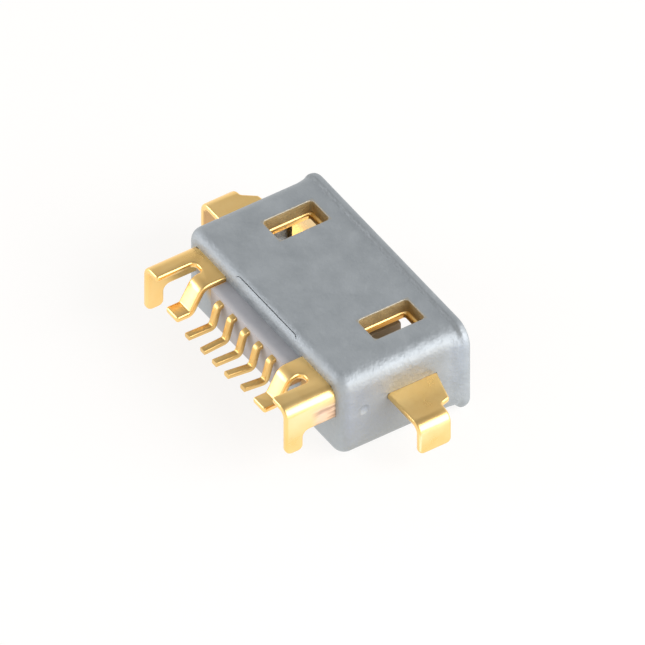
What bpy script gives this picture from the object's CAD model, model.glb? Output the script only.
import math

import bmesh
import bpy
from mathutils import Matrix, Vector


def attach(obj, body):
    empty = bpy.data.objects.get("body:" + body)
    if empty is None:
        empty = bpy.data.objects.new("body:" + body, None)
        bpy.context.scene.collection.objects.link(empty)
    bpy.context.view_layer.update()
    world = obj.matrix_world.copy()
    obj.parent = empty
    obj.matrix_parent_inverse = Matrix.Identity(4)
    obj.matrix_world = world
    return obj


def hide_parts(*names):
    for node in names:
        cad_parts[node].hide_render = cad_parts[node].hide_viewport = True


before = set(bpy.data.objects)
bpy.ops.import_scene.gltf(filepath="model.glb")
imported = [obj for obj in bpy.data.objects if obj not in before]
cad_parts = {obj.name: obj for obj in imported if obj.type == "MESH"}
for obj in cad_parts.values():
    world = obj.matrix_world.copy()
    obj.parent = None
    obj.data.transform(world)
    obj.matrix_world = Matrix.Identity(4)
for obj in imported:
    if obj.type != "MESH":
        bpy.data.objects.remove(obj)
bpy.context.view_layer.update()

# Sizes of the port in millimetres, as the solid model has them
MM = 0.001
BODY_HALF = 3.86
BODY_LOW = 0.18
BODY_TOP = 3.03
BODY_REAR = -1.24
BODY_FRONT = 2.89
BODY_CORNER = 0.5
BACK_ROUND = 0.35
LIP_DEPTH = 0.2
LIP_SIDE = 0.135
LIP_TOP = 0.08
LIP_UNDER = 0.18
LIP_EDGE = 0.07
LIP_ROLL = 0.15
RAMP_RUN = 0.5
RAMP_PAST = 0.04
RAMP_SIDE = 0.46
RAMP_TOP = 0.13
BACK_STEPS = 8
RAMP_STEPS = 20
LIP_STEPS = 8
SHEET = 0.2
TUBE_TOP = 2.61
TUBE_REAR = -0.99
TUBE_FRONT = 2.81
TUBE_EDGE = 0.05
TUBE_FACE = 0.012
TUBE_OUTER_ROUND = (0.3, 0.28)
TUBE_INNER_ROUND = (0.12, 0.09)
SEAT_GAP = 0.004
THROUGH = 1.0
MOUTH_HALF = 3.45
MOUTH_LOW = 0.56
MOUTH_HIGH = 2.41
MOUTH_BEVEL = 0.65
MOUTH_RIM = 0.04
WINDOW_MIDDLE = 2.365
WINDOW_HALF = 0.455
WINDOW_REAR = 0.544
WINDOW_LENGTH = 1.62
WINDOW_CORNER = 0.12
WINDOW_RIM = 0.03
SEAM_HALF = 0.011
SEAM_DEPTH = 0.15
SEAM_LINE = [(-1.5, -1.19), (-1.44, -1.14), (-1.37, -1.12), (1.36, -1.12), (1.43, -1.135),
             (1.5, -1.18)]
DIMPLE_RADIUS = 0.3
DIMPLE_PLACE = (BODY_HALF + 0.235, -0.51, 1.76)
LATCH_HALF = 0.42
LATCH_INSET = 0.09
LATCH_CORNER = 0.06
LATCH_ROLL = 0.11
HOLE_GAP = 0.1
HOLE_INNER = 3.1
HOLE_LOW = 0.76
HOLE_CORNER = 0.05
EAR_INNER = 1.87
EAR_HALF = 3.56
EAR_REACH = 1.594
EAR_WALL_LOW = {-1: 1.66, 1: 1.6}
EAR_LEG_LOW = 0.97
EAR_LEG_WIDTH = 0.56
ARM_INNER = {-1: 2.87, 1: 2.82}
SLOT_END = 0.38
TAB_WIDTH = 0.58
TAB_START = 0.66
TAB_RUN = 0.5
TAB_DROP = 0.73
FOLD = 0.16
BLANK_LAP = 0.5
LEG_START = 0.26
LEG_WIDTH = 1.04
LEG_WIDE = {-1: 1.43, 1: 1.35}
LEG_FLARE = {-1: 0.15, 1: 0.26}
LEG_SLANT = {-1: 0.15, 1: 0.04}
LEG_WIDE_REACH = 4.9
LEG_REACH = 5.46
LEG_TOP = 1.95
LEG_LOW = 0.9
LEG_ROOT = 3.52
SLIT_GAP = 0.003
SLIT_HEADROOM = 0.01
PITCH = 0.65
CONTACT_WIDTH = 0.23
CONTACT_THICK = 0.15
CONTACT_TOP = 2.4
CONTACT_TIP = 2.9
RISER = 0.02
STEM_TOP = 0.72
STEM_LEAN = 0.18
STEM_DROP = 0.67
# How far back each contact's foot reaches, and how much its end is bent up
FEET = [(1.638, 0.02), (1.57, -0.05), (1.61, 0.03), (1.637, 0.11), (1.54, 0.08)]
TONGUE_HALF = 1.75
TONGUE_LOW = 1.44
TONGUE_TOP = 2.06
TONGUE_FRONT = 2.07
TONGUE_CORNER = 0.05
TONGUE_NOSE = 0.08
PLUG_LENGTH = 1.0
BLOCK_HALF = 1.84
BLOCK_TOP = 2.48
BLOCK_LOW = 1.28
BLOCK_BEVEL = 0.33
BLOCK_REAR = -1.76
BLOCK_ROUND = 0.24
ARC_STEPS = 6
EDGE_ROLL = 0.07


def rounded(corners, steps=ARC_STEPS):
    """A closed outline from corners (x, y, radius), each corner turned into an arc."""
    points = []
    for index, (x, y, radius) in enumerate(corners):
        here = Vector((x, y))
        back = (Vector(corners[index - 1][:2]) - here).normalized()
        ahead = (Vector(corners[(index + 1) % len(corners)][:2]) - here).normalized()
        if radius <= 0:
            points.append(here)
            continue
        half = back.angle(ahead) / 2
        centre = here + (back + ahead).normalized() * (radius / math.sin(half))
        first = here + back * (radius / math.tan(half)) - centre
        last = here + ahead * (radius / math.tan(half)) - centre
        turn = math.atan2(first.x * last.y - first.y * last.x, first.dot(last))
        for step in range(steps + 1):
            angle = turn * step / steps
            points.append(centre + Vector((
                first.x * math.cos(angle) - first.y * math.sin(angle),
                first.x * math.sin(angle) + first.y * math.cos(angle))))
    return points


def piece_from(name, bm, smooth=True):
    """A finished object in metres from a bmesh in millimetres."""
    bmesh.ops.recalc_face_normals(bm, faces=bm.faces)
    bmesh.ops.scale(bm, vec=(MM, MM, MM), verts=bm.verts)
    mesh = bpy.data.meshes.new(name)
    bm.to_mesh(mesh)
    bm.free()
    piece = bpy.data.objects.new(name, mesh)
    bpy.context.scene.collection.objects.link(piece)
    if smooth:
        mesh.shade_smooth()
    return piece


def add_loft(bm, rings, capped=True):
    """Faces between rings of points with the same count, with a flat face at each end."""
    loops = [[bm.verts.new(point) for point in ring] for ring in rings]
    count = len(rings[0])
    for near_ring, far_ring in zip(loops, loops[1:]):
        for index in range(count):
            after = (index + 1) % count
            bm.faces.new((near_ring[index], near_ring[after], far_ring[after], far_ring[index]))
    if capped:
        bm.faces.new(list(reversed(loops[0])))
        bm.faces.new(loops[-1])
    return loops


def prism(name, outline, place, low, high):
    """A cutter with straight sides. The place function puts (a, b, run) into the part's frame."""
    bm = bmesh.new()
    add_loft(bm, [[place(p.x, p.y, run) for p in outline] for run in (low, high)])
    return piece_from(name, bm, smooth=False)


def slot_cutter(name, middle, half, near, far, corner, low, top, roll):
    """A cutter for a slot in a level face, flared at the top so that the slot's rim is rolled."""
    bm = bmesh.new()
    steps = 6
    angles = [math.pi / 2 * n / steps for n in range(steps + 1)]
    levels = [(low, 0)] + [(top - roll + roll * math.sin(angle), roll * (1 - math.cos(angle)))
                           for angle in angles]
    rings = []
    for height, grow in levels + [(top + 1, roll)]:
        outline = rounded([(middle - half - grow, near - grow, corner + grow),
                           (middle + half + grow, near - grow, corner + grow),
                           (middle + half + grow, far + grow, corner + grow),
                           (middle - half - grow, far + grow, corner + grow)])
        rings.append([Vector((p.x, p.y, height)) for p in outline])
    add_loft(bm, rings)
    return piece_from(name, bm, smooth=False)


def along_y(a, b, run):
    """Places an outline drawn across the depth."""
    return Vector((a, run, b))


def along_z(a, b, run):
    """Places an outline drawn on the level."""
    return Vector((a, b, run))


def along_x(a, b, run):
    """Places an outline drawn on a side face."""
    return Vector((run, a, b))


def settle(piece):
    """Turn what the piece's modifiers show into its own plain mesh."""
    bpy.context.view_layer.update()
    graph = bpy.context.evaluated_depsgraph_get()
    mesh = bpy.data.meshes.new_from_object(piece.evaluated_get(graph), depsgraph=graph)
    old = piece.data
    piece.modifiers.clear()
    piece.data = mesh
    mesh.name = piece.name
    bpy.data.meshes.remove(old)
    return piece


def carve(piece, cutters):
    """Take the cutters' room out of the piece."""
    for cutter in cutters:
        change = piece.modifiers.new("carve", "BOOLEAN")
        change.operation = "DIFFERENCE"
        change.solver = "EXACT"
        change.object = cutter
    settle(piece)
    for cutter in cutters:
        bpy.data.objects.remove(cutter)
    return piece


def soften(piece, wanted, width, segments=3):
    """Round the piece's sharp edges whose middle passes the test, in millimetres."""
    bm = bmesh.new()
    bm.from_mesh(piece.data)
    bmesh.ops.remove_doubles(bm, verts=bm.verts, dist=0.0005 * MM)
    edges = []
    for edge in bm.edges:
        if len(edge.link_faces) != 2 or edge.calc_face_angle(0) < math.radians(40):
            continue
        middle = (edge.verts[0].co + edge.verts[1].co) / (2 * MM)
        if wanted(middle):
            edges.append(edge)
    bmesh.ops.bevel(bm, geom=edges, offset=width * MM, offset_type="OFFSET", segments=segments,
                    profile=0.5, affect="EDGES", clamp_overlap=True)
    bm.to_mesh(piece.data)
    bm.free()
    return piece


def shade(piece, angle=40):
    """Smooth shading that keeps the flats flat and the sharp edges sharp."""
    piece.data.shade_smooth()
    piece.data.set_sharp_from_angle(angle=math.radians(angle))
    weights = piece.modifiers.new("flat_faces_lead", "WEIGHTED_NORMAL")
    weights.keep_sharp = True
    weights.weight = 80
    return piece


class BentLine:
    """A line in one plane, straight runs joined by arcs, that flat sheet is bent along."""

    def __init__(self, corners, radii):
        self.parts = []
        self.run = 0.0
        corners = [Vector(corner) for corner in corners]
        here = corners[0]
        for index in range(1, len(corners) - 1):
            before = (corners[index] - corners[index - 1]).normalized()
            after = (corners[index + 1] - corners[index]).normalized()
            turn = math.atan2(before.x * after.y - before.y * after.x, before.dot(after))
            radius = radii[index - 1]
            reach = radius * math.tan(abs(turn) / 2)
            self._straight(here, corners[index] - before * reach)
            side = Vector((-before.y, before.x)) * math.copysign(1, turn)
            centre = corners[index] - before * reach + side * radius
            self.parts.append(("arc", self.run, radius * abs(turn), centre, -side * radius, turn,
                               before))
            self.run += radius * abs(turn)
            here = corners[index] + after * reach
        self._straight(here, corners[-1])

    def _straight(self, start, end):
        length = (end - start).length
        heading = (end - start).normalized()
        self.parts.append(("straight", self.run, length, start, heading, 0, None))
        self.run += length

    def bend_runs(self, steps=ARC_STEPS):
        """The run lengths at which the flat sheet needs an edge line."""
        return [start + length * step / steps for kind, start, length, *rest in self.parts
                if kind == "arc" for step in range(steps + 1)]

    def at(self, run, lift):
        """The point at a run length, lifted off the line to its left."""
        for kind, start, length, anchor, arm, turn, heading in self.parts:
            if run <= start + length + 1e-9:
                break
        share = run - start
        if kind == "straight":
            return anchor + arm * share + Vector((-arm.y, arm.x)) * lift
        angle = turn * share / length
        cosine, sine = math.cos(angle), math.sin(angle)
        arm = Vector((arm.x * cosine - arm.y * sine, arm.x * sine + arm.y * cosine))
        heading = Vector((heading.x * cosine - heading.y * sine,
                          heading.x * sine + heading.y * cosine))
        return anchor + arm + Vector((-heading.y, heading.x)) * lift

    def run_to(self, value, axis, part=-1):
        """The run length at which a straight part reaches a coordinate."""
        _, start, _, anchor, arm, _, _ = self.parts[part]
        return start + (value - anchor[axis]) / arm[axis]


def flat_sheet(outline, lines_a, lines_b, limit, edge_round):
    """A flat blank with rolled edges, cut along its bend lines.

    Lines a cross the whole blank. Lines b cross only the part of it below the limit in a.
    """
    bm = bmesh.new()
    bm.faces.new([bm.verts.new((p.x, p.y, -SHEET / 2)) for p in outline])
    cuts = [(0, line) for line in lines_a]
    if lines_b:
        cuts += [(0, limit)] + [(1, line) for line in lines_b]
    for axis, line in cuts:
        place, normal = Vector((0, 0, 0)), Vector((0, 0, 0))
        place[axis], normal[axis] = line, 1
        faces = [face for face in bm.faces if axis == 0 or face.calc_center_median().x < limit]
        edges = {edge for face in faces for edge in face.edges}
        verts = {vert for face in faces for vert in face.verts}
        bmesh.ops.bisect_plane(bm, geom=list(verts) + list(edges) + faces, dist=1e-6,
                               plane_co=place, plane_no=normal)
    raised = bmesh.ops.extrude_face_region(bm, geom=bm.faces[:])
    bmesh.ops.translate(bm, vec=(0, 0, SHEET),
                        verts=[v for v in raised["geom"] if isinstance(v, bmesh.types.BMVert)])
    bmesh.ops.recalc_face_normals(bm, faces=bm.faces)
    rims = [edge for edge in bm.edges if len(edge.link_faces) == 2
            and abs(edge.calc_face_angle(0) - math.pi / 2) < 0.01
            and abs(edge.verts[0].co.z - edge.verts[1].co.z) < 1e-6]
    bmesh.ops.bevel(bm, geom=rims, offset=edge_round, offset_type="OFFSET", segments=4,
                    profile=0.5, affect="EDGES", clamp_overlap=False)
    return bm


def mirror_x(bm):
    """The same mesh on the other side of the middle plane."""
    copy = bm.copy()
    for vert in copy.verts:
        vert.co.x = -vert.co.x
    bmesh.ops.reverse_faces(copy, faces=copy.faces)
    return copy


def gather(bms):
    """All the meshes in one."""
    mesh = bpy.data.meshes.new("gathered")
    whole = bmesh.new()
    for bm in bms:
        bmesh.ops.recalc_face_normals(bm, faces=bm.faces)
        bm.to_mesh(mesh)
        whole.from_mesh(mesh)
        bm.free()
    bpy.data.meshes.remove(mesh)
    return whole


# Outlines that several pieces share
def tube_outline(grow, round_low, round_high):
    """The mouth's outline, grown by a wall or by none, with its bends rounded."""
    side = MOUTH_HALF + grow
    top, low = MOUTH_HIGH + grow, MOUTH_LOW - grow
    cut = MOUTH_BEVEL + grow * (2 - math.sqrt(2))
    right = [(side - cut, low, round_low), (side, low + cut, round_low)]
    left = [(-side, low + cut, round_low), (-(side - cut), low, round_low)]
    return rounded(right + [(side, top, round_high), (-side, top, round_high)] + left)


def block_outline(grow=0.0):
    """The moulding's block seen from behind, its two lower corners cut off."""
    side, bevel = BLOCK_HALF + grow, BLOCK_BEVEL + grow * 0.4
    return rounded([(side - bevel, BLOCK_LOW - grow, 0), (side, BLOCK_LOW + bevel - grow, 0),
                    (side, BLOCK_TOP, 0), (-side, BLOCK_TOP, 0),
                    (-side, BLOCK_LOW + bevel - grow, 0), (-(side - bevel), BLOCK_LOW - grow, 0)])


# Cover: rings from the rounded back to the lip, then everything that is cut into it
def cover_ring(y, side, top, under, corner):
    """The cover's outline at one depth, with its sides, top and underside moved out."""
    half = BODY_HALF + side
    low, high = BODY_LOW - under, BODY_TOP + top
    outline = rounded([(half, low, corner), (half, high, corner), (-half, high, corner),
                       (-half, low, corner)], 10)
    return [Vector((p.x, y, p.y)) for p in outline]


def eased(value, low, high):
    """A share from nought to one that starts and ends gently."""
    share = min(max((value - low) / (high - low), 0), 1)
    return share * share * (3 - 2 * share)


def cover_rings():
    """The rounded back, the ramp up to the lip and the lip's rolled front."""
    rings = []
    for step in range(BACK_STEPS + 1):
        angle = math.pi / 2 * step / BACK_STEPS
        inset = BACK_ROUND * (1 - math.sin(angle))
        rings.append(cover_ring(BODY_REAR + BACK_ROUND * (1 - math.cos(angle)),
                                -inset, -inset, -inset, BODY_CORNER - inset))
    lip_rear = BODY_FRONT - LIP_DEPTH
    ramp_end = lip_rear + RAMP_PAST
    for step in range(RAMP_STEPS + 1):
        y = ramp_end - RAMP_RUN * (1 - step / RAMP_STEPS)
        side = eased(y, lip_rear - RAMP_SIDE, ramp_end)
        rise = eased(y, lip_rear - RAMP_TOP, ramp_end)
        rings.append(cover_ring(y, LIP_SIDE * side, LIP_TOP * rise, LIP_UNDER * rise,
                                BODY_CORNER + LIP_SIDE * side))
    for step in range(LIP_STEPS + 1):
        angle = math.pi / 2 * (1 + step / LIP_STEPS)
        inset = LIP_EDGE * (1 - math.sin(angle))
        rings.append(cover_ring(BODY_FRONT - LIP_ROLL - LIP_ROLL * math.cos(angle),
                                LIP_SIDE - inset, LIP_TOP - inset, LIP_UNDER - inset,
                                BODY_CORNER + LIP_SIDE - inset))
    return rings


def cover_cutters():
    """The shell's cavity, the rear openings, the windows, the legs' slits, the seam, the dimple."""
    cutters = [
        prism("cut_cavity", tube_outline(SHEET, *TUBE_OUTER_ROUND), along_y, TUBE_REAR,
              BODY_FRONT + THROUGH),
        prism("cut_block", block_outline(), along_y, BODY_REAR - THROUGH, TUBE_REAR + 0.1),
    ]
    for sign in (-1, 1):
        cutters.append(slot_cutter("cut_window", sign * WINDOW_MIDDLE, WINDOW_HALF, WINDOW_REAR,
                                   WINDOW_REAR + WINDOW_LENGTH, WINDOW_CORNER, TUBE_TOP - 0.1,
                                   BODY_TOP, WINDOW_RIM))
        inner, outer = sign * EAR_INNER, sign * (EAR_HALF - SHEET)
        ear = rounded([(inner, MOUTH_HIGH, 0), (outer, MOUTH_HIGH, 0), (outer, TUBE_TOP, 0),
                       (inner, TUBE_TOP, 0)])
        cutters.append(prism("cut_ear", ear, along_y, BODY_REAR - THROUGH, TUBE_REAR + 0.1))
        front = LEG_START + LEG_WIDE[sign] + LEG_FLARE[sign] + SLIT_GAP
        rear, low, high = LEG_START - SLIT_GAP, LEG_TOP - SHEET - SLIT_GAP, LEG_TOP + SLIT_HEADROOM
        slit = rounded([(rear, low, HOLE_CORNER), (front, low, HOLE_CORNER),
                        (front, high, HOLE_CORNER), (rear, high, HOLE_CORNER)])
        near, far = sorted((sign * MOUTH_HALF, sign * (BODY_HALF + THROUGH)))
        cutters.append(prism("cut_leg", slit, along_x, near, far))
    seam = [Vector((x, y + SEAM_HALF)) for x, y in SEAM_LINE]
    seam += [Vector((x, y - SEAM_HALF)) for x, y in reversed(SEAM_LINE)]
    cutters.append(prism("cut_seam", seam, along_z, BODY_TOP - SEAM_DEPTH, BODY_TOP + THROUGH))
    bm = bmesh.new()
    bmesh.ops.create_icosphere(bm, subdivisions=4, radius=DIMPLE_RADIUS)
    bmesh.ops.translate(bm, vec=DIMPLE_PLACE, verts=bm.verts)
    cutters.append(piece_from("cut_dimple", bm, smooth=False))
    return cutters


def at_mouth_rim(middle):
    """Whether an edge of the cover lies on its front face, round the mouth."""
    reach = SHEET + 0.02
    return (middle.y > BODY_FRONT - 0.002 and abs(middle.x) < MOUTH_HALF + reach
            and MOUTH_LOW - reach < middle.z < MOUTH_HIGH + reach)


bm = bmesh.new()
add_loft(bm, cover_rings())
cover = carve(piece_from("cover_shell", bm), cover_cutters())
soften(cover, at_mouth_rim, MOUTH_RIM)


# Shell: the tube round the mouth, and on each side an ear and a leg bent from flat blanks
def tube_mesh():
    """The tube's wall, with a softened front edge."""
    bm = bmesh.new()
    outer = tube_outline(SHEET - SEAT_GAP, *TUBE_OUTER_ROUND)
    inner = tube_outline(0, *TUBE_INNER_ROUND)
    soft_outer = tube_outline(SHEET - TUBE_EDGE, 0.3, 0.26)
    soft_inner = tube_outline(TUBE_EDGE, 0.12, 0.12)
    loops = [(outer, TUBE_REAR), (outer, TUBE_FRONT - TUBE_EDGE),
             (soft_outer, TUBE_FRONT - TUBE_FACE), (soft_inner, TUBE_FRONT),
             (inner, TUBE_FRONT - TUBE_EDGE), (inner, TUBE_REAR)]
    rings = [[Vector((p.x, y, p.y)) for p in line] for line, y in loops]
    made = add_loft(bm, rings, capped=False)
    count = len(outer)
    for index in range(count):
        after = (index + 1) % count
        bm.faces.new((made[-1][index], made[-1][after], made[0][after], made[0][index]))
    return bm


def tube_cutters():
    """The slots under the windows, and the holes that the side legs leave in the end walls."""
    cutters = []
    for sign in (-1, 1):
        cutters.append(slot_cutter("cut_latch", sign * WINDOW_MIDDLE, LATCH_HALF,
                                   WINDOW_REAR + LATCH_INSET,
                                   WINDOW_REAR + WINDOW_LENGTH - LATCH_INSET, LATCH_CORNER,
                                   MOUTH_HIGH - 0.15, TUBE_TOP - SEAT_GAP, LATCH_ROLL))
        front = LEG_START + LEG_WIDE[sign] + LEG_FLARE[sign] + HOLE_GAP
        rear, high = LEG_START - HOLE_GAP, LEG_TOP - SHEET
        hole = rounded([(rear, HOLE_LOW, HOLE_CORNER), (front, HOLE_LOW, HOLE_CORNER),
                        (front, high, HOLE_CORNER), (rear, high, HOLE_CORNER)])
        near, far = sorted((sign * HOLE_INNER, sign * (MOUTH_HALF + 2 * SHEET)))
        cutters.append(prism("cut_hole", hole, along_x, near, far))
    return cutters


def ear_mesh(side):
    """A rear ear: plate, folded side wall with its leg, and the tab stepped down to the board."""
    plate = (MOUTH_HIGH + TUBE_TOP) / 2
    out = BentLine([(EAR_INNER, plate), (EAR_HALF - SHEET / 2, plate),
                    (EAR_HALF - SHEET / 2, EAR_LEG_LOW)], [FOLD + SHEET / 2])
    back = BentLine([(-BLANK_LAP, plate), (TAB_START + 0.047, plate),
                     (TAB_START + TAB_RUN - 0.047, plate - TAB_DROP),
                     (EAR_REACH, plate - TAB_DROP)], [0.3, 0.17])
    wall_run = out.run_to(EAR_WALL_LOW[side], 1)
    leg_run = out.run
    arm = ARM_INNER[side] - EAR_INNER
    rear = BLANK_LAP + EAR_REACH
    leg_front = rear - EAR_LEG_WIDTH
    slot_end = BLANK_LAP + SLOT_END
    outline = rounded([
        (0, 0, 0), (wall_run, 0, 0), (wall_run, leg_front, 0.2), (leg_run, leg_front, 0.17),
        (leg_run, rear, 0.2), (arm, rear, 0.08), (arm, slot_end, 0.14),
        (TAB_WIDTH, slot_end, 0.14), (TAB_WIDTH, back.run, 0.08), (0, back.run, 0.08)])
    bm = flat_sheet(outline, out.bend_runs(), back.bend_runs(), (TAB_WIDTH + arm) / 2, EDGE_ROLL)
    for vert in bm.verts:
        a, b, lift = vert.co
        x, z = out.at(a, lift)
        y = BLANK_LAP - b
        if a < TAB_WIDTH + 0.02 and b > BLANK_LAP + TAB_START - 0.2:
            distance, z = back.at(b, lift)
            y = -distance
        vert.co = (x, y + BODY_REAR, z)
    return bm


def leg_mesh(side):
    """A side leg: a strip that leaves the tube's end wall, runs out flat and turns down."""
    plate = LEG_TOP - SHEET / 2
    out = BentLine([(LEG_ROOT, plate + 0.03), (BODY_HALF + 0.06, plate),
                    (LEG_REACH - SHEET / 2, plate), (LEG_REACH - SHEET / 2, LEG_LOW)],
                   [0.8, FOLD + SHEET / 2])
    wide = out.run_to(LEG_WIDE_REACH, 0, 2)
    face = out.run_to(BODY_HALF, 0, 0)
    front = LEG_START + LEG_WIDE[side]
    outline = rounded([
        (0, LEG_START, 0), (out.run, LEG_START, 0.16), (out.run, LEG_START + LEG_WIDTH, 0.16),
        (wide + LEG_SLANT[side], LEG_START + LEG_WIDTH, 0.12),
        (wide - LEG_SLANT[side], front, 0.09),
        (face, front + LEG_FLARE[side], 0), (0, front + LEG_FLARE[side], 0)])
    bm = flat_sheet(outline, out.bend_runs(), [], 0, EDGE_ROLL)
    for vert in bm.verts:
        a, b, lift = vert.co
        x, z = out.at(a, lift)
        vert.co = (x, b, z)
    return bm


tube = carve(piece_from("tube", tube_mesh()), tube_cutters())
tube_bm = bmesh.new()
tube_bm.from_mesh(tube.data)
bmesh.ops.scale(tube_bm, vec=(1 / MM,) * 3, verts=tube_bm.verts)
bpy.data.objects.remove(tube)
parts = [tube_bm, ear_mesh(1), mirror_x(ear_mesh(-1)), leg_mesh(1), mirror_x(leg_mesh(-1))]
shell = piece_from("folded_shell", gather(parts))


# Contacts: one rounded strip swept along each bent line
def contact_tree():
    """Turns a line of points into a bent strip with rounded edges, in the given finish."""
    tree = bpy.data.node_groups.new("bent_strip", "GeometryNodeTree")
    face = tree.interface
    face.new_socket("Geometry", in_out="INPUT", socket_type="NodeSocketGeometry")
    for label, value in (("Strip Width", CONTACT_WIDTH * MM),
                         ("Strip Thickness", CONTACT_THICK * MM),
                         ("Bend Radius", 0.14 * MM), ("Edge Round", 0.035 * MM)):
        face.new_socket(label, in_out="INPUT", socket_type="NodeSocketFloat").default_value = value
    face.new_socket("Finish", in_out="INPUT", socket_type="NodeSocketMaterial")
    face.new_socket("Geometry", in_out="OUTPUT", socket_type="NodeSocketGeometry")
    add, link = tree.nodes.new, tree.links.new
    given, result = add("NodeGroupInput"), add("NodeGroupOutput")
    path, bends = add("GeometryNodeMeshToCurve"), add("GeometryNodeFilletCurve")
    bends.mode = "POLY"
    bends.inputs["Count"].default_value = 7
    section = add("GeometryNodeCurvePrimitiveQuadrilateral")
    corners = add("GeometryNodeFilletCurve")
    corners.mode = "POLY"
    corners.inputs["Count"].default_value = 3
    sweep = add("GeometryNodeCurveToMesh")
    sweep.inputs["Fill Caps"].default_value = True
    real, finish = add("GeometryNodeRealizeInstances"), add("GeometryNodeSetMaterial")
    link(given.outputs["Geometry"], path.inputs["Mesh"])
    link(path.outputs["Curve"], bends.inputs["Curve"])
    link(given.outputs["Bend Radius"], bends.inputs["Radius"])
    link(given.outputs["Strip Width"], section.inputs["Width"])
    link(given.outputs["Strip Thickness"], section.inputs["Height"])
    link(section.outputs["Curve"], corners.inputs["Curve"])
    link(given.outputs["Edge Round"], corners.inputs["Radius"])
    link(bends.outputs["Curve"], sweep.inputs["Curve"])
    link(corners.outputs["Curve"], sweep.inputs["Profile Curve"])
    link(sweep.outputs["Mesh"], real.inputs["Geometry"])
    link(real.outputs["Geometry"], finish.inputs["Geometry"])
    link(given.outputs["Finish"], finish.inputs["Material"])
    link(finish.outputs["Geometry"], result.inputs["Geometry"])
    return tree


def contact(index, tree, finish):
    """One contact: under the tongue, up through the moulding and out to its foot."""
    reach, lift = FEET[index]
    x = (index - 2) * PITCH
    half = CONTACT_THICK / 2
    foot = CONTACT_TOP - STEM_DROP - half
    line = [(CONTACT_TIP, TONGUE_LOW + half), (RISER + half, TONGUE_LOW + half),
            (RISER + half, CONTACT_TOP - half), (half - STEM_TOP, CONTACT_TOP - half),
            (half - STEM_TOP - STEM_LEAN, foot), (-reach, foot + lift)]
    mesh = bpy.data.meshes.new(f"contact_strip_{index + 1}")
    points = [(x * MM, (y + BODY_REAR) * MM, z * MM) for y, z in line]
    mesh.from_pydata(points, [(n, n + 1) for n in range(len(points) - 1)], [])
    piece = bpy.data.objects.new(mesh.name, mesh)
    bpy.context.scene.collection.objects.link(piece)
    sweep = piece.modifiers.new("bent_strip", "NODES")
    sweep.node_group = tree
    for socket in tree.interface.items_tree:
        if socket.in_out == "INPUT" and socket.name == "Finish":
            sweep[socket.identifier] = finish
    return settle(piece)


# Moulding: the block at the back, the plug that closes the tube and the tongue in the mouth
def moulding_mesh():
    """The block with its rounded rear, the plug and the tongue with its rounded nose."""
    tongue = rounded([(TONGUE_HALF, TONGUE_LOW, TONGUE_CORNER),
                      (TONGUE_HALF, TONGUE_TOP, TONGUE_CORNER),
                      (-TONGUE_HALF, TONGUE_TOP, TONGUE_CORNER),
                      (-TONGUE_HALF, TONGUE_LOW, TONGUE_CORNER)])
    plug = tube_outline(-SEAT_GAP, *TUBE_INNER_ROUND)
    solids = []
    for outline, near_end, far_end, near_round, far_round in (
            (block_outline(-SEAT_GAP), BLOCK_REAR, TUBE_REAR + 0.3, BLOCK_ROUND, 0),
            (plug, TUBE_REAR, TUBE_REAR + PLUG_LENGTH, 0, 0),
            (tongue, TUBE_REAR + PLUG_LENGTH / 2, TONGUE_FRONT, 0, TONGUE_NOSE)):
        bm = bmesh.new()
        add_loft(bm, [[Vector((p.x, y, p.y)) for p in outline] for y in (near_end, far_end)])
        edges = [edge for edge in bm.edges if edge.calc_face_angle(0) > 0.5
                 and (near_round and max(v.co.y for v in edge.verts) < near_end + 1e-6
                      or far_round and min(v.co.y for v in edge.verts) > far_end - 1e-6)]
        if edges:
            bmesh.ops.recalc_face_normals(bm, faces=bm.faces)
            bmesh.ops.bevel(bm, geom=edges, offset=near_round or far_round, segments=3,
                            offset_type="OFFSET", profile=0.5, affect="EDGES")
        solids.append(bm)
    return gather(solids)


moulding = piece_from("moulding", moulding_mesh())


# Materials
def new_material(name):
    """A new material with its node tree and its main shader."""
    material = bpy.data.materials.new(name)
    material.use_nodes = True
    tree = material.node_tree
    shader = tree.nodes["Principled BSDF"]
    return material, tree, shader


def group(name, inputs, outputs):
    """An empty shader node group with its two end nodes."""
    tree = bpy.data.node_groups.new(name, "ShaderNodeTree")
    for label, kind, value in inputs:
        socket = tree.interface.new_socket(label, in_out="INPUT", socket_type=kind)
        socket.default_value = value
    for label, kind in outputs:
        tree.interface.new_socket(label, in_out="OUTPUT", socket_type=kind)
    return tree, tree.nodes.new("NodeGroupInput"), tree.nodes.new("NodeGroupOutput")


FLOAT, VECTOR = "NodeSocketFloat", "NodeSocketVector"


def noise(tree, vector, scale, detail=3, rough=0.5, scale_from=None):
    """Cloudy noise from nought to one."""
    node = tree.nodes.new("ShaderNodeTexNoise")
    node.inputs["Scale"].default_value = scale
    node.inputs["Detail"].default_value = detail
    node.inputs["Roughness"].default_value = rough
    tree.links.new(vector, node.inputs["Vector"])
    if scale_from:
        tree.links.new(scale_from, node.inputs["Scale"])
    return node.outputs["Fac"]


def span(tree, value, low, high, to_low=0.0, to_high=1.0, smooth=False):
    """A value spread from one range to another, held at the ends."""
    node = tree.nodes.new("ShaderNodeMapRange")
    if smooth:
        node.interpolation_type = "SMOOTHSTEP"
    for label, number in (("From Min", low), ("From Max", high),
                          ("To Min", to_low), ("To Max", to_high)):
        node.inputs[label].default_value = number
    tree.links.new(value, node.inputs["Value"])
    return node.outputs["Result"]


def maths(tree, operation, a, b=None):
    """One sum on values or sockets."""
    node = tree.nodes.new("ShaderNodeMath")
    node.operation = operation
    for index, value in enumerate((a, b)):
        if value is None:
            continue
        if isinstance(value, (int, float)):
            node.inputs[index].default_value = value
        else:
            tree.links.new(value, node.inputs[index])
    return node.outputs[0]


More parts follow.
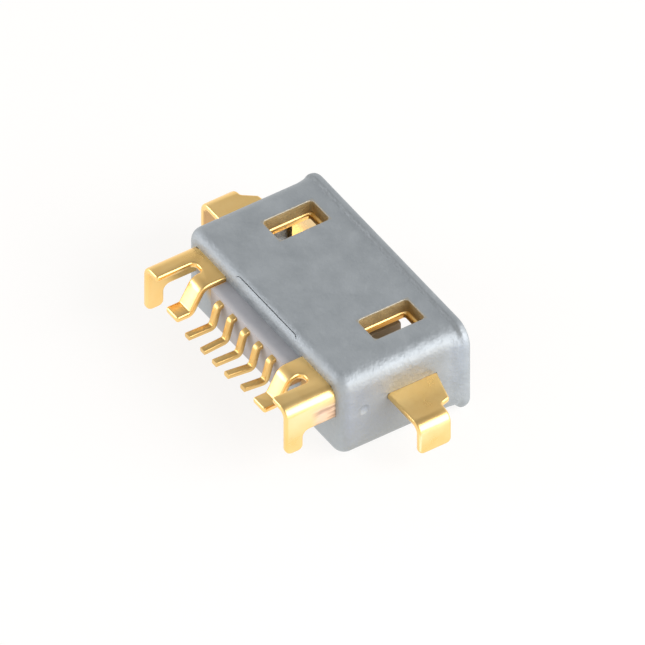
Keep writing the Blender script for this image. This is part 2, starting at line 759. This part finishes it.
def blend_colours(tree, share, a, b):
    """Colour a where the share is nought, b where it is one."""
    node = tree.nodes.new("ShaderNodeMix")
    node.data_type = "RGBA"
    sockets = {"Factor": node.inputs[0], "A": node.inputs[6], "B": node.inputs[7]}
    tree.links.new(share, sockets["Factor"])
    for label, value in (("A", a), ("B", b)):
        if isinstance(value, tuple):
            sockets[label].default_value = (*value, 1)
        else:
            tree.links.new(value, sockets[label])
    return node.outputs[2]


def grain_group():
    """Fine and coarse grain in one height, and a slow cloud for colour and gloss."""
    tree, given, result = group(
        "metal_grain",
        [("Vector", VECTOR, (0, 0, 0)), ("Fine Scale", FLOAT, 20000.0),
         ("Coarse Scale", FLOAT, 5000.0), ("Coarse Share", FLOAT, 0.4),
         ("Cloud Scale", FLOAT, 900.0)],
        [("Height", FLOAT), ("Cloud", FLOAT)])
    vector = given.outputs["Vector"]
    fine = noise(tree, vector, 1, 2, 0.6, given.outputs["Fine Scale"])
    coarse = noise(tree, vector, 1, 3, 0.55, given.outputs["Coarse Scale"])
    cloud = noise(tree, vector, 1, 4, 0.6, given.outputs["Cloud Scale"])
    share = maths(tree, "MULTIPLY", coarse, given.outputs["Coarse Share"])
    tree.links.new(maths(tree, "ADD", fine, share), result.inputs["Height"])
    tree.links.new(cloud, result.inputs["Cloud"])
    return tree


GRAIN = grain_group()


def place_group(tree, which, vector, **values):
    """A shared node group put in a material, with its own settings."""
    node = tree.nodes.new("ShaderNodeGroup")
    node.node_tree = which
    tree.links.new(vector, node.inputs["Vector"])
    for label, value in values.items():
        node.inputs[label.replace("_", " ")].default_value = value
    return node


def stretched(tree, vector, scale):
    """The place vector with each axis scaled."""
    node = tree.nodes.new("ShaderNodeMapping")
    node.inputs["Scale"].default_value = scale
    tree.links.new(vector, node.inputs["Vector"])
    return node.outputs["Vector"]


def place_mask(tree, vector, *limits):
    """One inside soft limits and nought outside.

    Each limit is an axis, its outer value and its inner value, in millimetres. A bar before the
    axis makes the limit the same on both sides.
    """
    split = tree.nodes.new("ShaderNodeSeparateXYZ")
    tree.links.new(vector, split.inputs[0])
    mask = None
    for axis, outer, inner in limits:
        value = split.outputs[axis[-1]]
        if axis[0] == "|":
            value = maths(tree, "ABSOLUTE", value)
        inside = span(tree, value, outer * MM, inner * MM, smooth=True)
        mask = inside if mask is None else maths(tree, "MULTIPLY", mask, inside)
    return mask


def bump(tree, height, strength, distance):
    """A normal that follows a fine height."""
    node = tree.nodes.new("ShaderNodeBump")
    node.inputs["Strength"].default_value = strength
    node.inputs["Distance"].default_value = distance
    tree.links.new(height, node.inputs["Height"])
    return node.outputs["Normal"]


def blasted_metal():
    """Grey metal, bead-blasted: even fine grain, soft mottling in its gloss."""
    material, tree, shader = new_material("blasted_grey_metal")
    vector = tree.nodes.new("ShaderNodeTexCoord").outputs["Object"]
    grain = place_group(tree, GRAIN, vector, Fine_Scale=10000.0, Coarse_Scale=3300.0,
                        Coarse_Share=2.4, Cloud_Scale=1300.0)
    cloud = span(tree, grain.outputs["Cloud"], 0.3, 0.7)
    colour = blend_colours(tree, cloud, (0.418, 0.445, 0.458), (0.487, 0.512, 0.522))
    golden = blend_colours(tree, cloud, (0.50, 0.39, 0.20), (0.60, 0.47, 0.26))
    walls = place_mask(tree, vector, ("|X", 2.87, 2.84), ("|X", 1.86, 1.89), ("Y", 2.22, 2.19),
                       ("Y", 0.49, 0.52), ("Z", 3.06, 2.97), ("Z", 2.4, 2.5))
    colour = blend_colours(tree, walls, colour, golden)
    under_ears = place_mask(tree, vector, ("|X", 1.7, 1.9), ("|X", 3.0, 2.7), ("Y", -1.0, -1.15),
                            ("Z", 2.5, 2.4), ("Z", 1.0, 1.6))
    colour = blend_colours(tree, under_ears, colour, (0.62, 0.43, 0.20))
    crease = place_mask(tree, vector, ("Y", 2.57, 2.62), ("Y", 2.73, 2.68), ("Z", 2.8, 2.95))
    colour = blend_colours(tree, crease, colour, (0.36, 0.38, 0.385))
    ends = place_mask(tree, vector, ("|X", 3.7, 3.86), ("Y", 2.6, 1.9))
    colour = blend_colours(tree, ends, colour, blend_colours(tree, cloud, (0.38, 0.39, 0.38),
                                                             (0.435, 0.445, 0.435)))
    tree.links.new(colour, shader.inputs["Base Color"])
    shader.inputs["Metallic"].default_value = 1.0
    tree.links.new(span(tree, grain.outputs["Cloud"], 0.3, 0.7, 0.6, 0.72),
                   shader.inputs["Roughness"])
    tree.links.new(bump(tree, grain.outputs["Height"], 0.7, 0.000021), shader.inputs["Normal"])
    return material


def gold_plating():
    """Gold plate over rolled sheet: soft cloudy gloss and the rolling's fine grain."""
    material, tree, shader = new_material("gold_plating")
    vector = tree.nodes.new("ShaderNodeTexCoord").outputs["Object"]
    grain = place_group(tree, GRAIN, vector, Fine_Scale=18000.0, Coarse_Scale=3000.0,
                        Coarse_Share=1.2, Cloud_Scale=1100.0)
    cloud = span(tree, grain.outputs["Cloud"], 0.3, 0.7)
    bright = blend_colours(tree, cloud, (0.96, 0.62, 0.22), (1.0, 0.70, 0.29))
    dull = blend_colours(tree, cloud, (0.72, 0.47, 0.17), (0.84, 0.58, 0.23))
    contact_zone = place_mask(tree, vector, ("|X", 1.8, 1.7))
    colour = blend_colours(tree, contact_zone, bright, dull)
    pocket = place_mask(tree, vector, ("|X", 3.9, 3.8), ("Y", 0.0, 0.1), ("Z", 1.85, 1.75))
    colour = blend_colours(tree, pocket, colour, (0.80, 0.60, 0.33))
    worn = place_mask(tree, vector, ("X", 3.4, 3.5), ("X", 3.7, 3.6), ("Y", -2.1, -1.7),
                      ("Z", 2.3, 2.05))
    inner_side = place_mask(tree, vector, ("X", -5.33, -5.28), ("X", -3.8, -3.9),
                            ("Z", 1.72, 1.6))
    colour = blend_colours(tree, inner_side, colour, (0.62, 0.39, 0.19))
    streaks = span(tree, noise(tree, stretched(tree, vector, (1, 0.16, 1)), 9000, 2), 0.4, 0.62)
    rubbed = blend_colours(tree, streaks, (0.95, 0.65, 0.38), (0.60, 0.37, 0.21))
    colour = blend_colours(tree, worn, colour, rubbed)
    tree.links.new(colour, shader.inputs["Base Color"])
    shader.inputs["Metallic"].default_value = 1.0
    gloss = span(tree, grain.outputs["Cloud"], 0.3, 0.7, 0.26, 0.36)
    gloss = maths(tree, "ADD", gloss, maths(tree, "MULTIPLY", contact_zone, 0.07))
    tree.links.new(gloss, shader.inputs["Roughness"])
    tree.links.new(bump(tree, grain.outputs["Height"], 0.25, 0.000003), shader.inputs["Normal"])
    return material


def grey_moulding():
    """Grey moulded plastic: matte, with a fine spark-eroded texture and faint flow marks."""
    material, tree, shader = new_material("grey_moulding")
    vector = tree.nodes.new("ShaderNodeTexCoord").outputs["Object"]
    grain = place_group(tree, GRAIN, vector, Fine_Scale=12000.0, Coarse_Scale=3500.0,
                        Coarse_Share=0.8, Cloud_Scale=1500.0)
    cloud = span(tree, grain.outputs["Cloud"], 0.3, 0.7)
    stained = blend_colours(tree, cloud, (0.325, 0.325, 0.338), (0.40, 0.395, 0.408))
    clean = blend_colours(tree, cloud, (0.50, 0.475, 0.475), (0.58, 0.555, 0.555))
    split = tree.nodes.new("ShaderNodeSeparateXYZ")
    tree.links.new(vector, split.inputs[0])
    ragged = maths(tree, "ADD", split.outputs["Y"],
                   span(tree, grain.outputs["Cloud"], 0.3, 0.7, -0.00006, 0.00006))
    beyond_rear_face = span(tree, ragged, -0.00174, -0.00152, smooth=True)
    colour = blend_colours(tree, beyond_rear_face, clean, stained)
    tongue = place_mask(tree, vector, ("Y", -0.9, -0.7))
    colour = blend_colours(tree, tongue, colour, (0.27, 0.215, 0.145))
    sides = place_mask(tree, vector, ("X", 1.82, 1.836), ("Y", -1.2, -1.25), ("Z", 1.5, 1.75))
    colour = blend_colours(tree, sides, colour, (0.66, 0.42, 0.17))
    tree.links.new(colour, shader.inputs["Base Color"])
    tree.links.new(span(tree, grain.outputs["Cloud"], 0.3, 0.7, 0.5, 0.65),
                   shader.inputs["Roughness"])
    tree.links.new(bump(tree, grain.outputs["Height"], 0.3, 0.000005), shader.inputs["Normal"])
    return material


METAL, GOLD, PLASTIC = blasted_metal(), gold_plating(), grey_moulding()
tree = contact_tree()
contacts = [contact(index, tree, GOLD) for index in range(5)]

# Each piece with its finish, the solids that it stands for and its slot
finished = [(cover, METAL, ["cover"], "cover_metal"),
            (shell, GOLD, ["inner_shell"], "gold_plating"),
            (moulding, PLASTIC, ["insulator"], "grey_plastic")]
finished += [(strip, GOLD, [f"contact_{number}"], "gold_plating")
             for number, strip in enumerate(contacts, start=1)]
for piece, finish, nodes, slot in finished:
    piece.data.materials.clear()
    piece.data.materials.append(finish)
    shade(piece)
    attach(piece, "root")
    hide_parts(*nodes)


# Floor, light and camera
def floor():
    """A pale floor that keeps the shadow, with two bright cards that only gloss reflects."""
    bm = bmesh.new()
    bmesh.ops.create_grid(bm, x_segments=2, y_segments=2, size=0.4)
    mesh = bpy.data.meshes.new("floor")
    bm.to_mesh(mesh)
    bm.free()
    piece = bpy.data.objects.new("floor", mesh)
    bpy.context.scene.collection.objects.link(piece)
    material = bpy.data.materials.new("white_floor")
    material.use_nodes = True
    tree = material.node_tree
    tree.nodes.clear()
    matte = tree.nodes.new("ShaderNodeBsdfDiffuse")
    matte.inputs["Color"].default_value = (0.18, 0.18, 0.178, 1)
    glow = tree.nodes.new("ShaderNodeEmission")
    path = tree.nodes.new("ShaderNodeLightPath")
    split = tree.nodes.new("ShaderNodeSeparateXYZ")
    tree.links.new(tree.nodes.new("ShaderNodeTexCoord").outputs["Object"], split.inputs[0])
    across = maths(tree, "SUBTRACT", split.outputs["Y"],
                   maths(tree, "MULTIPLY", split.outputs["X"], 0.655))
    tint = (1.0, 0.985, 0.965)
    for low, high, start, card_tint in ((-3.9, -2.0, 6.8, (1.1, 1.3, 1.75)),
                                        (-5.8, -3.8, 5.0, (1.25, 1.5, 2.6))):
        card = maths(tree, "MULTIPLY", span(tree, across, low * MM, (low + 0.5) * MM, smooth=True),
                     span(tree, across, high * MM, (high - 0.5) * MM, smooth=True))
        beyond = span(tree, split.outputs["X"], start * MM, (start + 0.7) * MM, smooth=True)
        card = maths(tree, "MULTIPLY", card, beyond)
        card = maths(tree, "MULTIPLY", card, path.outputs["Is Glossy Ray"])
        tint = blend_colours(tree, card, tint, card_tint)
    tree.links.new(tint, glow.inputs["Color"])
    strongest = None
    for ray, strength in (("Is Camera Ray", 0.83), ("Is Glossy Ray", 0.95),
                          ("Is Diffuse Ray", 0.6)):
        lit = maths(tree, "MULTIPLY", path.outputs[ray], strength)
        strongest = lit if strongest is None else maths(tree, "MAXIMUM", strongest, lit)
    tree.links.new(strongest, glow.inputs["Strength"])
    both = tree.nodes.new("ShaderNodeAddShader")
    tree.links.new(matte.outputs[0], both.inputs[0])
    tree.links.new(glow.outputs[0], both.inputs[1])
    out = tree.nodes.new("ShaderNodeOutputMaterial")
    tree.links.new(both.outputs[0], out.inputs["Surface"])
    mesh.materials.append(material)


def area_light(name, place, target, size, power, colour):
    """An oval soft box in metres and watts, turned to its target."""
    data = bpy.data.lights.new(name, "AREA")
    data.shape = "ELLIPSE"
    data.size, data.size_y = size
    data.energy = power
    data.color = colour
    light = bpy.data.objects.new(name, data)
    bpy.context.scene.collection.objects.link(light)
    light.location = place
    light.rotation_mode = "QUATERNION"
    light.rotation_quaternion = (Vector(target) - Vector(place)).to_track_quat("-Z", "Y")


def studio_world():
    """A room paler at the horizon than overhead, plain white to the camera."""
    world = bpy.data.worlds.new("studio")
    bpy.context.scene.world = world
    world.use_nodes = True
    tree = world.node_tree
    back = tree.nodes["Background"]
    direction = tree.nodes.new("ShaderNodeTexCoord").outputs["Generated"]
    split = tree.nodes.new("ShaderNodeSeparateXYZ")
    tree.links.new(direction, split.inputs[0])
    height = tree.nodes.new("ShaderNodeValToRGB")
    ramp = height.color_ramp
    ramp.elements[0].position, ramp.elements[0].color = 0.0, (1.0, 0.99, 0.97, 1)
    ramp.elements[1].position, ramp.elements[1].color = 1.0, (0.34, 0.35, 0.37, 1)
    for position, grey in ((0.35, 0.92), (0.67, 0.63), (0.86, 0.42)):
        ramp.elements.new(position).color = (grey, grey * 1.01, grey * 1.03, 1)
    tree.links.new(split.outputs["Z"], height.inputs["Fac"])
    path = tree.nodes.new("ShaderNodeLightPath")
    seen = blend_colours(tree, path.outputs["Is Camera Ray"], height.outputs["Color"],
                         (1.0, 0.985, 0.965))
    tree.links.new(seen, back.inputs["Color"])
    back.inputs["Strength"].default_value = 1.0


floor()
studio_world()
area_light("right_softbox", (0.072, 0.038, 0.042), (0, 0, 0.0015), (0.11, 0.085), 0.087,
           (0.99, 0.99, 1.02))
area_light("left_softbox", (-0.042, -0.048, 0.020), (0, 0, 0.0015), (0.038, 0.03), 0.013,
           (0.96, 0.97, 1.05))

# The camera that was fitted to the photo: its angles, its scale and one known point
AZIMUTH, ELEVATION = math.radians(56.8), math.radians(42.81)
FRAME_PIXELS = 645
PIXELS_PER_MM = 36.765
ANCHOR = Vector((0, 0.76, 1.58))
ANCHOR_PIXEL = (325.35, 316.72)
CAMERA_DISTANCE = 60


def photo_camera():
    """A camera without perspective that puts the anchor on its pixel."""
    back = Vector((math.sin(AZIMUTH) * math.cos(ELEVATION),
                   -math.cos(AZIMUTH) * math.cos(ELEVATION), math.sin(ELEVATION)))
    right = Vector((math.cos(AZIMUTH), math.sin(AZIMUTH), 0))
    up = back.cross(right)
    aim = ANCHOR - right * ((ANCHOR_PIXEL[0] - FRAME_PIXELS / 2) / PIXELS_PER_MM)
    aim += up * ((ANCHOR_PIXEL[1] - FRAME_PIXELS / 2) / PIXELS_PER_MM)
    data = bpy.data.cameras.new("camera")
    data.type = "ORTHO"
    data.ortho_scale = FRAME_PIXELS / PIXELS_PER_MM * MM
    data.clip_start, data.clip_end = 0.001, 1.0
    camera = bpy.data.objects.new("camera", data)
    bpy.context.scene.collection.objects.link(camera)
    camera.location = (aim + back * CAMERA_DISTANCE) * MM
    camera.rotation_mode = "QUATERNION"
    camera.rotation_quaternion = (-back).to_track_quat("-Z", "Y")
    bpy.context.scene.camera = camera


photo_camera()
bpy.context.scene.view_settings.view_transform = "Standard"
